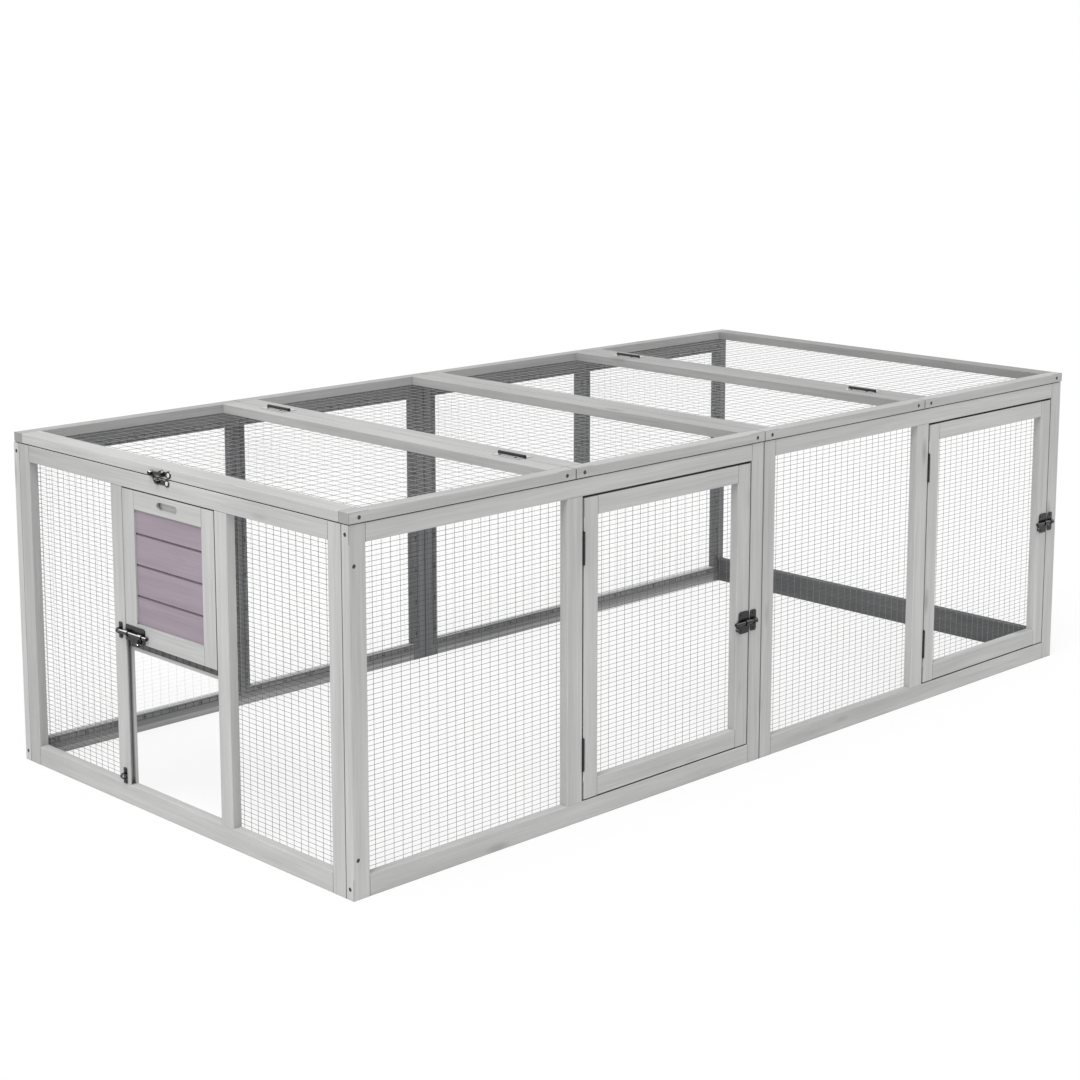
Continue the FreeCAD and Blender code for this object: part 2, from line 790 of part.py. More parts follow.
def pop_stile(y, side):
    """A stile with a tongue on its outer edge for the jamb's groove and a rebate for the slats."""
    z = pop_door_bottom()
    bar = block(0, y, z, pop_back, pop_stile_width, pop_door_height)
    tongue_x = jamb_lip + pop_lip_gap
    tongue_y = y - pop_tongue if side < 0 else y + pop_stile_width
    bar = bar.fuse(block(tongue_x, tongue_y, z, pop_back - tongue_x, pop_tongue, pop_door_height))
    low, high = slat_field()
    rebate_y = y + pop_stile_width - pop_slat_rebate if side < 0 else y
    rebate = block(pop_slat_recess, rebate_y, low, pop_back, pop_slat_rebate, high - low)
    return bar.cut(rebate).removeSplitter().Solids[0]


def pop_slat(y, z, width, height):
    slat = block(pop_slat_recess, y, z, pop_back - pop_slat_recess, width, height)
    middle = (pop_slat_recess + pop_back) / 2
    front_edges = [edge for edge in edges_along(slat, axis_y) if edge.BoundBox.XMax < middle]
    return slat.makeChamfer(pop_slat_chamfer, front_edges)


def make_pop_door():
    low, high = jamb_faces()
    bottom = pop_door_bottom()
    left = low + pop_side_gap
    right = high - pop_side_gap
    write("pop_door_stiles", [pop_stile(left, -1), pop_stile(right - pop_stile_width, 1)])
    rail_y = left + pop_stile_width
    rail_span = right - left - 2 * pop_stile_width
    slat_low, slat_high = slat_field()
    lap = block(pop_slat_recess, rail_y, slat_low, pop_back, rail_span, slat_high - slat_low)
    top_z = bottom + pop_door_height - pop_top_rail_height
    top_rail = block(0, rail_y, top_z, pop_back, rail_span, pop_top_rail_height)
    slot_z = top_z + (pop_top_rail_height - finger_slot_height) / 2
    slot = block(-cut_overrun, (run_width - finger_slot_length) / 2, slot_z, cut_overrun + finger_slot_depth,
                 finger_slot_length, finger_slot_height)
    slot = slot.makeFillet(finger_slot_height * finger_round_share, edges_along(slot, axis_x))
    write("pop_door_top_rail", [top_rail.cut([lap, slot]).Solids[0]])
    bottom_rail = block(0, rail_y, bottom, pop_back, rail_span, pop_bottom_rail_height)
    write("pop_door_bottom_rail", [bottom_rail.cut(lap).Solids[0]])
    slats = []
    z = slat_low
    for index in range(pop_slat_count):
        height = pop_low_slat_height if index == 0 else pop_slat_height
        if index == pop_slat_count - 1:
            height = slat_high - z
        slats.append(pop_slat(rail_y - pop_slat_rebate, z, rail_span + 2 * pop_slat_rebate, height))
        z += height
    write("pop_door_slats", slats)
    plate_end = right - bolt_plate_inset
    origin = FreeCAD.Vector(0, plate_end - pop_bolt_width / 2, bottom + pop_bolt_height / 2)
    plate = rounded_plate(0, 0, 0, pop_bolt_width, pop_bolt_height, bolt_plate_thickness, pop_bolt_corner)
    near = pop_bolt_width / 2 - pop_strap_end_inset - pop_near_strap_width
    far = pop_strap_end_inset - pop_bolt_width / 2
    plate = strapped(strapped(plate, near, pop_near_strap_width), far, pop_far_strap_width)
    write("pop_door_bolt_plate", [placed(plate, origin, axis_y, -axis_x)])
    keeper_x = pop_bolt_width / 2 + pop_keeper_reach + pop_keeper_width / 2
    tip = keeper_x - pop_staple_width / 2 - bolt_tip_clearance
    rod = bolt_rod(tip, pop_rod_length, pop_stem_from_tip, pop_ball_drop, axis_y)
    write("pop_door_bolt_rod", [placed(rod, origin, axis_y, -axis_x)])
    travel = bottom - bottom_rail_height - pop_bottom_gap
    keepers = []
    for drop in (0, travel):
        for solid in bolt_keeper(keeper_x, pop_keeper_width, pop_keeper_height, pop_keeper_corner,
                                 pop_staple_width):
            keepers.append(placed(solid, origin - axis_z * drop, axis_y, -axis_x))
    return keepers


def main():
    os.makedirs("parts", exist_ok=True)
    places = wall_screw_places()
    make_walls(places)
    make_pop_end(places)
    make_plain_end()
    places += make_fixed_roof()
    write("frame_screws", [screw(point, inward) for point, inward in places])
    make_lid("roof_lid_left", 0)
    make_lid("roof_lid_right", roof_panel_count - 1)
    make_lid_hook()
    leaves, pins = make_lid_hinges("roof_lid_left", roof_panel_length, -1)
    lid_leaves, lid_pins = make_lid_hinges("roof_lid_right", run_length - roof_panel_length, 1)
    leaves += lid_leaves
    pins += lid_pins
    keepers = make_pop_door()
    for name, module, level in (("front_door_left", 0, left_bolt_level),
                                ("front_door_right", 1, right_bolt_level)):
        door_leaves, door_pins, door_keepers = make_front_door(name, module, level)
        leaves += door_leaves
        pins += door_pins
        keepers += door_keepers
    write("hinge_fixed_leaves", leaves)
    write("hinge_pins", pins)
    write("bolt_keepers", keepers)


main()
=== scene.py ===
import json
import math

import bpy
import numpy as np
from mathutils import Matrix, Vector


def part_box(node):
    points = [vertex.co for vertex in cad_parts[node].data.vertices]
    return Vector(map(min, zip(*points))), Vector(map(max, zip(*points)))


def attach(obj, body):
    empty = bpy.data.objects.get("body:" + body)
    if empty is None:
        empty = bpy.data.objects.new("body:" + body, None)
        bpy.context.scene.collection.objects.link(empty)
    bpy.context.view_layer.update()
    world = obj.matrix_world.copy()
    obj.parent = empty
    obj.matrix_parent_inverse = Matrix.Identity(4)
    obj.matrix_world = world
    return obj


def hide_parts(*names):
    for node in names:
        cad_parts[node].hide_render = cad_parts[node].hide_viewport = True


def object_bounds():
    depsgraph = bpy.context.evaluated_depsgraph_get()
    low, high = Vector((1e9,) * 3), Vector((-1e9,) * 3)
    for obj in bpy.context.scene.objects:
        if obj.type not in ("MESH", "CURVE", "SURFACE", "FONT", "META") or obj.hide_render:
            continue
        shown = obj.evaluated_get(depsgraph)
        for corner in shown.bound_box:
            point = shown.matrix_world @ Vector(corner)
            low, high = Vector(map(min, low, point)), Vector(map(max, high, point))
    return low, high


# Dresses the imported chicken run: washed wood with grain along each batten, real wire mesh
# in place of the coarse nets, black hardware and screw heads. Lengths are metres.

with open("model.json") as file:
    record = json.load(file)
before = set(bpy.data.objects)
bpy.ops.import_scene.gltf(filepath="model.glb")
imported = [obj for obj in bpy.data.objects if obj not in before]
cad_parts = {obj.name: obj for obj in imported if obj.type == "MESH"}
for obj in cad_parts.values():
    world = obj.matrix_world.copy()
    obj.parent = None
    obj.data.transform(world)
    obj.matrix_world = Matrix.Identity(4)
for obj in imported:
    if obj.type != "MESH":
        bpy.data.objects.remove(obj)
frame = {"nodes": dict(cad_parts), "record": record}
cad_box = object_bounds()
cad = frame["nodes"]
node_body = {node: body for body, names in frame["record"]["behaviour"]["bodies"].items() for node in names}

mm = 0.001
axes = {"x": Vector((1, 0, 0)), "y": Vector((0, 1, 0)), "z": Vector((0, 0, 1))}
x_axis, y_axis, z_axis = range(3)
black = (0.0, 0.0, 0.0)
white = (1.0, 1.0, 1.0)

# Camera, fitted to the corners of the run in the photograph
camera_place = Vector((-3.0925, -3.0552, 1.3708))
camera_yaw = math.radians(44.356)
camera_pitch = math.radians(9.666)
camera_focal_pixels = 2209.4
picture_pixels = 1080
optical_axis_row = 400
sensor_width_mm = 36.0

# Light: an even white surround and one soft lamp from the upper left
surround_strength = 0.62
lamp_strength = 2.45
lamp_spread = math.radians(40)
lamp_from = Vector((-0.445, -0.229, 0.865))
floor_reach = 30.0
floor_albedo = 0.8
floor_roughness = 0.9
floor_gloss = 0.1
floor_white_share = 0.8

# Wire mesh
upright_pitch = 19.5 * mm
cross_pitch = 8.3 * mm
roof_upright_pitch = 25 * mm
roof_cross_pitch = 30 * mm
wire_radius = 0.35 * mm
wire_sides = 6
wire_lay_share = 0.9
staple_pitch = 70 * mm
staple_length = 9 * mm
staple_radius = 0.6 * mm
staple_inset = 5 * mm
wall_net_overlap = 12 * mm
roof_net_overlap = 16 * mm
beside_post = 18 * mm

# Roof hinges
roof_barrel_width = 6.4 * mm
roof_leaf_thickness = 1.5 * mm
leaf_slack = 0.1 * mm

# Screw heads; the rings are (share of the radius, share of the dome)
head_sides = 24
head_dome_share = 0.36
head_rings = ((0.55, 0.9), (0.85, 0.62), (1.0, 0.25), (1.0, 0.0))
cross_width_share = 0.26
cross_length_share = 1.25
cross_depth_share = 0.22
small_head_limit = 6 * mm
small_head_radius = 2.6 * mm
wood_head_radius = 3.3 * mm
wood_head_sink = 0.3 * mm
ear_head_radius = 3.8 * mm
ear_radius = 6.5 * mm

# Reading the CAD meshes
weld_gap = 0.02 * mm
end_slack = 0.05 * mm
span_digits = 4
twin_width_share = 1.5

# Colours of the wood, as linear light
wood_light = (0.55, 0.548, 0.545)
wood_dark = (0.38, 0.379, 0.376)
# Painted shade: darker tones for the inner faces of the walls, the back posts, the plain board, the back
# rails and their foot
inside_shade_light = (0.19, 0.192, 0.195)
inside_shade_dark = (0.085, 0.087, 0.09)
post_shade_light = (0.228, 0.23, 0.234)
post_shade_dark = (0.102, 0.104, 0.108)
board_shade_light = (0.13, 0.132, 0.134)
board_shade_dark = (0.055, 0.057, 0.059)
back_shade_light = (0.27, 0.272, 0.275)
back_shade_dark = (0.14, 0.142, 0.145)
rail_foot_shade_light = (0.405, 0.404, 0.402)
rail_foot_shade_dark = (0.28, 0.279, 0.277)
slat_light = (0.35, 0.295, 0.34)
slat_dark = (0.245, 0.205, 0.238)
# Painted shade in the grooves of the pop door's slats
groove_shade_tone = (0.15, 0.122, 0.145)
knot_tone = (0.16, 0.155, 0.15)
# Darker end grain, and painted shade in crevices and along joints
end_grain_and_shade_tone = (0.05, 0.05, 0.05)

# Grain: each noise has its fineness across and along the batten, its detail and its start
figure_noise = (70, 2.5, 5, 0.0)
fibre_noise = (420, 9, 3, 3.7)
tone_noise = (9, 2, 2, 8.1)
noise_roughness = 0.6
grain_range = (1.05, 1.95)
knot_along = 4.0
knot_across = 14.0
knot_share = 0.45
knot_range = (0.05, 0.14)
wood_roughness = (0.62, 0.9)
wood_bump_strength = 0.25
wood_bump_depth = 0.4 * mm
end_grain_share = 0.25

# Painted shade on the wood: in crevices, along joints and seams, darker towards the far parts, and on the
# inner faces
occlusion_samples = 8
crevice_reach = 14 * mm
crevice_range = (0.16, 0.54)
# Painted shade lines at joints and seams: their half widths and shares
joint_line_half = 0.9 * mm
joint_line_share = 0.8
seam_line_half = 1.5 * mm
seam_line_share = 0.85
# Painted shade: darker towards the back of the pop end, and towards the plain end and the back of the roof
far_shade_share = 0.18
roof_end_shade_share = 0.42
roof_front_shade_share = 0.12
roof_back_shade_share = 0.24
rail_foot_height = 12 * mm
end_face_depth = 25 * mm

# How squarely a face has to look along a direction, as a cosine
half_facing = 0.0
broad_facing = 0.6
flat_facing = 0.8
square_facing = 0.9

# Metals: colour, metallic share, roughness and how far the tone varies
black_metal = ((0.007, 0.007, 0.008), 0.0, 0.2, 0.3)
screw_metal = ((0.10, 0.10, 0.105), 0.9, 0.4, 0.2)
zinc_metal = ((0.80, 0.80, 0.81), 1.0, 0.3, 0.1)
wood_wire_metal = ((0.045, 0.045, 0.047), 0.3, 0.5, 0.2)
mottle_scale = 900.0
mottle_detail = 3.0
mottle_range = (0.3, 0.7)
mottle_roughness_shares = (0.8, 1.2)
metal_bump_strength = 0.1
metal_bump_depth = 0.1 * mm
# Painted highlights on the upper slants of the latches, and painted shade as less gloss in their corners
bright_highlight = (0.85, 0.85, 0.86)
dim_highlight = (0.16, 0.16, 0.165)
highlight_slants = (0.42, 0.55, 0.85, 0.93)
corner_reach = 5 * mm
corner_range = (0.35, 0.9)
corner_gloss = (0.0, 0.4)
leaf_grey = (0.42, 0.42, 0.42)
wire_grey = (0.035, 0.035, 0.036)
# Painted light on the side of the wires that looks into the run
wire_painted_light = (0.96, 0.96, 0.96)
wire_roughness = 0.6
wire_spots = 0.15
wire_mottle_scale = 60.0
wire_mottle_detail = 2.0

# Material numbers of a net, and the sockets of a node that mixes colours
free_wire, seated_wire = range(2)
mix_inputs = (0, 6, 7)
mix_output = 2


# Node helpers

def new_material(name):
    material = bpy.data.materials.new(name)
    material.use_nodes = True
    return material, material.node_tree, material.node_tree.nodes["Principled BSDF"]


def add(tree, kind, inputs=None, **settings):
    """A shader node with its settings, and its inputs as values or sockets to link from."""
    node = tree.nodes.new(kind)
    for key, value in settings.items():
        setattr(node, key, value)
    for key, value in (inputs or {}).items():
        if isinstance(value, bpy.types.NodeSocket):
            tree.links.new(value, node.inputs[key])
        else:
            node.inputs[key].default_value = value
    return node


def maths(tree, operation, *values, **settings):
    """The result of a math node on values or sockets."""
    return add(tree, "ShaderNodeMath", dict(enumerate(values)), operation=operation, **settings).outputs[0]


def any_of(tree, masks):
    """The largest of several masks."""
    total = masks[0]
    for mask in masks[1:]:
        total = maths(tree, "MAXIMUM", total, mask)
    return total


def ranged(tree, value, source=(0.0, 1.0), result=(0.0, 1.0)):
    """A value carried from one range to another and held at its ends."""
    return add(tree, "ShaderNodeMapRange", {"Value": value, "From Min": source[0], "From Max": source[1],
                                            "To Min": result[0], "To Max": result[1]}).outputs[0]


def ramp(tree, factor, stops):
    """A colour ramp from (place, colour) pairs."""
    node = add(tree, "ShaderNodeValToRGB", {"Fac": factor})
    elements = node.color_ramp.elements
    while len(elements) < len(stops):
        elements.new(stops[len(elements) - 1][0])
    for element, (place, colour) in zip(elements, stops):
        element.position = place
        element.color = (*colour, 1)
    return node.outputs["Color"]


def mixed(tree, factor, first, second):
    """A mix of two colours, each a tuple or a socket."""
    node = add(tree, "ShaderNodeMix", data_type="RGBA")
    for index, value in zip(mix_inputs, (factor, first, second)):
        socket = node.inputs[index]
        if isinstance(value, bpy.types.NodeSocket):
            tree.links.new(value, socket)
        else:
            socket.default_value = value if isinstance(value, float) else (*value, 1)
    return node.outputs[mix_output]


def add_bump(tree, shader, height, strength, depth):
    bump = add(tree, "ShaderNodeBump", {"Height": height, "Strength": strength, "Distance": depth})
    tree.links.new(bump.outputs[0], shader.inputs["Normal"])


def stretched(tree, place, axis, across, along, start=0.0):
    """Places drawn out along one axis, as fibres are."""
    scale = [along if letter == axis else across for letter in "xyz"]
    return add(tree, "ShaderNodeMapping", {"Vector": place, "Scale": scale,
                                           "Location": (start, start, start)}).outputs[0]


def stretched_noise(tree, place, axis, across, along, detail, start):
    return add(tree, "ShaderNodeTexNoise", {"Vector": stretched(tree, place, axis, across, along, start),
                                            "Scale": 1.0, "Detail": detail,
                                            "Roughness": noise_roughness}).outputs["Fac"]


def occlusion(tree, reach):
    """How open a place is, from zero in a corner to one."""
    shade = add(tree, "ShaderNodeAmbientOcclusion", {"Distance": reach}, samples=occlusion_samples)
    return shade.outputs["AO"]


# Masks on the faces of a piece

def faces_towards(tree, place, direction, limit):
    """One on faces whose normal points along a direction of the object, else zero."""
    facing = add(tree, "ShaderNodeVectorMath", {0: place.outputs["Normal"], 1: direction},
                 operation="DOT_PRODUCT")
    return maths(tree, "GREATER_THAN", facing.outputs["Value"], limit)


def faces_along(tree, place, axis, limit):
    """One on faces that look either way along an axis, else zero."""
    return any_of(tree, [faces_towards(tree, place, way, limit) for way in (axes[axis], -axes[axis])])


def coordinate(tree, place, axis):
    parts = add(tree, "ShaderNodeSeparateXYZ", {0: place.outputs["Object"]})
    return parts.outputs[axis.upper()]


def flank_mask(tree, place):
    """One on faces along X, apart from those at the ends of the run, else zero."""
    reach = maths(tree, "ABSOLUTE", coordinate(tree, place, "x"))
    middle = maths(tree, "LESS_THAN", reach, cad_box[1].x - end_face_depth)
    return maths(tree, "MULTIPLY", faces_along(tree, place, "x", broad_facing), middle)


def span_mask(tree, value, ends):
    """One within any of the (low, high) spans along one axis, else zero."""
    return any_of(tree, [maths(tree, "COMPARE", value, (low + high) / 2, (high - low) / 2)
                         for low, high in ends])


def line_mask(tree, value, places, half, share):
    """A share within a thin line at each of the places along one axis, else zero."""
    lines = span_mask(tree, value, [(place - half, place + half) for place in places])
    return maths(tree, "MULTIPLY", lines, share)


def joint_mask(tree, place, axis, lines, seams):
    """A share of painted shade along the joints and seams of battens, on the faces that show them."""
    way, places, meeting = lines
    value = coordinate(tree, place, way)
    line = line_mask(tree, value, places, joint_line_half, joint_line_share)
    line = maths(tree, "MULTIPLY", line, span_mask(tree, coordinate(tree, place, axis), meeting))
    if seams:
        line = maths(tree, "MAXIMUM", line, line_mask(tree, value, seams, seam_line_half, seam_line_share))
    return maths(tree, "SUBTRACT", line, faces_along(tree, place, way, flat_facing), use_clamp=True)


# Places read from the CAD nodes

def islands(node):
    """The vertices of each separate solid of a CAD node."""
    mesh = cad[node].data
    points = np.empty(len(mesh.vertices) * 3)
    mesh.vertices.foreach_get("co", points)
    points = points.reshape(-1, 3)
    keys = [tuple(row) for row in np.round(points / weld_gap).astype(int)]
    merged = {}
    ids = [merged.setdefault(key, len(merged)) for key in keys]
    parent = list(range(len(merged)))

    def root(i):
        while parent[i] != i:
            parent[i] = parent[parent[i]]
            i = parent[i]
        return i

    for edge in mesh.edges:
        a, b = (root(ids[v]) for v in edge.vertices)
        parent[a] = b
    groups = {}
    for index, key in enumerate(ids):
        groups.setdefault(root(key), []).append(index)
    return [points[group] for group in groups.values()]


def spans(node, axis):
    """The ends of a node's battens along an axis; two battens side by side count as one."""
    index = "xyz".index(axis)
    places = [points[:, index] for points in islands(node)]
    return sorted({(round(float(along.min()), span_digits), round(float(along.max()), span_digits))
                   for along in places})


def side_places(node, axis):
    """Where the sides of a node's battens lie along an axis."""
    return sorted({place for span in spans(node, axis) for place in span})


def seam_places(node, axis):
    """The seams between battens that stand side by side."""
    narrow = min(high - low for low, high in spans(node, axis))
    return [(low + high) / 2 for low, high in spans(node, axis) if high - low > twin_width_share * narrow]


# Materials

def grain_colour(tree, place, axis, dark, light):
    """Broad figure and fine fibres along the batten, with slow changes of tone and a few knots. Also
    gives the fibres alone."""
    figure, fibre, tone = (stretched_noise(tree, place, axis, *noise)
                           for noise in (figure_noise, fibre_noise, tone_noise))
    total = maths(tree, "ADD", maths(tree, "ADD", figure, fibre), tone)
    colour = ramp(tree, ranged(tree, total, source=grain_range), [(0.0, dark), (1.0, light)])
    drawn_out = stretched(tree, place, axis, knot_across, knot_along)
    cells = add(tree, "ShaderNodeTexVoronoi", {"Vector": drawn_out, "Scale": 1.0})
    knot = ramp(tree, cells.outputs["Distance"], list(zip(knot_range, ((knot_share,) * 3, black))))
    return mixed(tree, knot, colour, knot_tone), fibre


def with_crevice_shade(tree, colour):
    """Painted shade in the narrow gaps and corners between battens."""
    open_share = ramp(tree, occlusion(tree, crevice_reach), list(zip(crevice_range, (black, white))))
    return mixed(tree, open_share, end_grain_and_shade_tone, colour)


def wood(name, axis, dark=wood_dark, light=wood_light, inside=(), shade_tones=(inside_shade_dark, inside_shade_light),
         foot=None, shade_split=0.0, flanks=False, outer=None, lines=None, seams=(), shade_fade=None):
    """Washed wood with its grain along an axis.

    Faces that look along a direction of inside carry painted shade in the pair of tones given for it above
    the given split height, and in those of foot below it; with flanks, so do the faces along X, apart from
    the ends of the run. Faces turned away from outer are grooves, in painted shade. lines gives an axis,
    the places of joints on it and the spans where battens meet there, and seams the places of wider gaps
    on that axis; both are drawn as lines of painted shade. The painted shade fade gives an axis, two
    places on it and how far the wood is darkened at each."""
    material, tree, shader = new_material(name)
    place = add(tree, "ShaderNodeTexCoord")
    points = place.outputs["Object"]
    colour, fibre = grain_colour(tree, points, axis, dark, light)
    ends = maths(tree, "MULTIPLY", faces_along(tree, place, axis, square_facing), end_grain_share)
    colour = mixed(tree, ends, colour, end_grain_and_shade_tone)
    # Painted shade, darker along one axis
    if shade_fade is not None:
        way, low, high, first, last = shade_fade
        share = ranged(tree, coordinate(tree, place, way), source=(low, high), result=(first, last))
        colour = mixed(tree, share, colour, black)
    # Painted shade on the faces that look into the run and, with flanks, on the faces along X
    if inside:
        masks = [faces_towards(tree, place, way, broad_facing) for way in inside]
        if flanks:
            masks.append(flank_mask(tree, place))
        above = maths(tree, "GREATER_THAN", coordinate(tree, place, "z"), shade_split)
        shade_colour = grain_colour(tree, points, axis, *shade_tones)[0]
        below = grain_colour(tree, points, axis, *foot)[0] if foot else colour
        colour = mixed(tree, any_of(tree, masks), colour, mixed(tree, above, below, shade_colour))
    if outer is not None:
        # Painted shade on the faces of the grooves
        colour = mixed(tree, faces_towards(tree, place, outer, square_facing), groove_shade_tone, colour)
    if lines is not None:
        # Painted shade lines at the joints and seams
        colour = mixed(tree, joint_mask(tree, place, axis, lines, seams), colour, end_grain_and_shade_tone)
    # Painted shade in crevices and corners
    tree.links.new(with_crevice_shade(tree, colour), shader.inputs["Base Color"])
    tree.links.new(ranged(tree, fibre, result=wood_roughness), shader.inputs["Roughness"])
    add_bump(tree, shader, fibre, wood_bump_strength, wood_bump_depth)
    return material


def mottled(tree, noise, colour, spots):
    """A colour that varies with a noise by a share of itself."""
    tones = [tuple(min(1.0, channel * (1 + way * spots)) for channel in colour) for way in (-1, 1)]
    return ramp(tree, noise, list(zip(mottle_range, tones)))


def metal(name, colour, metallic, roughness, spots):
    """Painted or plated metal with fine mottling; spots sets how far its tone varies."""
    material, tree, shader = new_material(name)
    place = add(tree, "ShaderNodeTexCoord").outputs["Object"]
    noise = add(tree, "ShaderNodeTexNoise", {"Vector": place, "Scale": mottle_scale,
                                             "Detail": mottle_detail}).outputs["Fac"]
    tree.links.new(mottled(tree, noise, colour, spots), shader.inputs["Base Color"])
    shader.inputs["Metallic"].default_value = metallic
    rough = ranged(tree, noise, result=[roughness * share for share in mottle_roughness_shares])
    tree.links.new(rough, shader.inputs["Roughness"])
    add_bump(tree, shader, noise, metal_bump_strength, metal_bump_depth)
    return material


def net_wire(name, inside):
    """Zinc wire: dull on the outer side, with painted light making it bright on the side that looks into
    the run.
    """
    material, tree, shader = new_material(name)
    place = add(tree, "ShaderNodeTexCoord")
    noise = add(tree, "ShaderNodeTexNoise", {"Vector": place.outputs["Object"], "Scale": wire_mottle_scale,
                                             "Detail": wire_mottle_detail}).outputs["Fac"]
    inward = faces_towards(tree, place, inside, half_facing)
    colour = mixed(tree, inward, mottled(tree, noise, wire_grey, wire_spots), wire_painted_light)
    tree.links.new(colour, shader.inputs["Base Color"])
    shader.inputs["Roughness"].default_value = wire_roughness
    return material


def metal_parts(material):
    """The node tree of a metal, its shader and the socket that its colour comes from."""
    tree = material.node_tree
    shader = tree.nodes["Principled BSDF"]
    return tree, shader, shader.inputs["Base Color"].links[0].from_socket


def latch_metal(name, highlight_tone):
    """Black paint with painted highlights on the rounded upper sides of rods and straps, and painted shade
    as less gloss in corners.
    """
    material = metal(name, *black_metal)
    tree, shader, paint_colour = metal_parts(material)
    normal = add(tree, "ShaderNodeTexCoord").outputs["Normal"]
    slant = add(tree, "ShaderNodeSeparateXYZ", {0: normal}).outputs["Z"]
    # Painted highlight on the upper slants
    highlight = ramp(tree, slant, list(zip(highlight_slants, (black, white, white, black))))
    tree.links.new(mixed(tree, highlight, paint_colour, highlight_tone), shader.inputs["Base Color"])
    tree.links.new(highlight, shader.inputs["Metallic"])
    # Painted shade: less gloss in corners
    shine = ranged(tree, occlusion(tree, corner_reach), source=corner_range, result=corner_gloss)
    tree.links.new(shine, shader.inputs["Specular IOR Level"])
    return material


def hinge_metal():
    """Black hinges whose flat roof leaves are zinc below the barrel."""
    material = metal("hinge_metal", *black_metal)
    tree, shader, paint_colour = metal_parts(material)
    height = coordinate(tree, add(tree, "ShaderNodeTexCoord"), "z")
    leaf_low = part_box("hinge_fixed_leaves")[1].z - roof_barrel_width - leaf_slack
    leaf_high = leaf_low + roof_leaf_thickness + 2 * leaf_slack
    leaf = span_mask(tree, height, [(leaf_low, leaf_high)])
    tree.links.new(mixed(tree, leaf, paint_colour, leaf_grey), shader.inputs["Base Color"])
    return material


def paint(node, material):
    """Give a CAD node a material on all its slots."""
    for slot in cad[node].material_slots:
        slot.material = material


def paint_wood():
    """Grain along each batten, painted shade on the inner faces of the walls and lines of painted shade at
    the joints beside stiles.
    """
    # Each wall: the direction into the run, the axis along the wall, and its uprights with their rails
    walls = {
        "front": (axes["y"], "x", {"front_stiles": ["front_rails"], "front_mid_posts": ["front_rails"],
                                   "front_door_left_stiles": ["front_door_left_rails"],
                                   "front_door_right_stiles": ["front_door_right_rails"]}),
        "back": (-axes["y"], "x", {"back_posts": ["back_rails"]}),
        "left": (axes["x"], "y", {"pop_end_stiles": ["pop_end_rails"], "pop_end_jambs": ["pop_end_rails"],
                                  "pop_door_stiles": ["pop_door_top_rail", "pop_door_bottom_rail"]}),
    }
    for wall, (inside, across, uprights) in walls.items():
        # Painted shade, darker towards the back of the pop end
        shade_fade = ("y", 0.0, cad_box[1].y, 0.0, far_shade_share) if wall == "left" else None
        # Painted shade tones for the inner faces: their own for the back posts, shared by the other walls
        shade_tones = (post_shade_dark, post_shade_light) if wall == "back" else (inside_shade_dark, inside_shade_light)
        for node, rails in uprights.items():
            sides = side_places(node, across)
            seams = sides[:1] if node == "pop_end_stiles" else seam_places(node, across)
            meeting = [span for rail in rails for span in spans(rail, "z")]
            paint(node, wood(node + "_wood", "z", inside=[inside], shade_tones=shade_tones, flanks=wall == "back",
                             shade_fade=shade_fade, seams=seams, lines=(across, sides, meeting)))
        if wall != "back":
            rail_wood = wood(wall + "_rail_wood", across, inside=[inside], shade_fade=shade_fade)
            for node in sorted({rail for rails in uprights.values() for rail in rails}):
                paint(node, rail_wood)
    # Painted shade on the inner faces of the back rails, lighter on their foot, on the plain board, and
    # under the net on the pop end's mid rail
    paint("back_rails", wood("back_rails_wood", "x", inside=[-axes["y"]], shade_tones=(back_shade_dark, back_shade_light),
                             foot=(rail_foot_shade_dark, rail_foot_shade_light), shade_split=rail_foot_height))
    paint("plain_end_bottom_board", wood("plain_board_wood", "y", inside=[-axes["x"], axes["z"]],
                                         shade_tones=(board_shade_dark, board_shade_light)))
    paint("pop_end_mid_rail", wood("mid_rail_wood", "y", inside=[-axes["x"]],
                                   shade_split=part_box("pop_door_upper_net")[0].z))
    paint("pop_door_slats", wood("mauve_slats", "y", slat_dark, slat_light, outer=-axes["x"]))
    # Painted shade, darker towards the plain end and towards the back of the roof
    cross_shade = ("x", cad_box[0].x, cad_box[1].x, 0.0, roof_end_shade_share)
    side_shade = ("y", cad_box[0].y, cad_box[1].y, roof_front_shade_share, roof_back_shade_share)
    cross_wood = wood("roof_cross_wood", "y", shade_fade=cross_shade)
    for roof in ("fixed_roof", "roof_lid_left", "roof_lid_right"):
        node = roof + "_side_rails"
        meeting = spans(roof + "_cross_rails", "x")
        paint(node, wood(node + "_wood", "x", shade_fade=side_shade, lines=("y", side_places(node, "y"), meeting)))
        paint(roof + "_cross_rails", cross_wood)


# Meshes

def new_object(name, vertices, faces, materials, body):
    mesh = bpy.data.meshes.new(name)
    mesh.from_pydata(vertices, [], faces)
    mesh.update()
    for material in materials:
        mesh.materials.append(material)
    obj = bpy.data.objects.new(name, mesh)
    bpy.context.scene.collection.objects.link(obj)
    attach(obj, body)
    return obj


def prism(points, side, radius, sides, vertices, faces):
    """Add a straight round wire through points, with a flat towards side, to lists of vertices and
    faces: the faces between two points after those of the pair before, then both ends."""
    run = (points[-1] - points[0]).normalized()
    other = run.cross(side)
    first = len(vertices)
    for point in points:
        for step in range(sides):
            angle = 2 * math.pi * (step + 0.5) / sides
            vertices.append(point + (side * math.cos(angle) + other * math.sin(angle)) * radius)
    last = len(vertices) - sides
    for ring in range(first, last, sides):
        for step in range(sides):
            following = (step + 1) % sides
            faces.append((ring + step, ring + following, ring + sides + following, ring + sides + step))
    faces.append(tuple(first + step for step in reversed(range(sides))))
    faces.append(tuple(last + step for step in range(sides)))


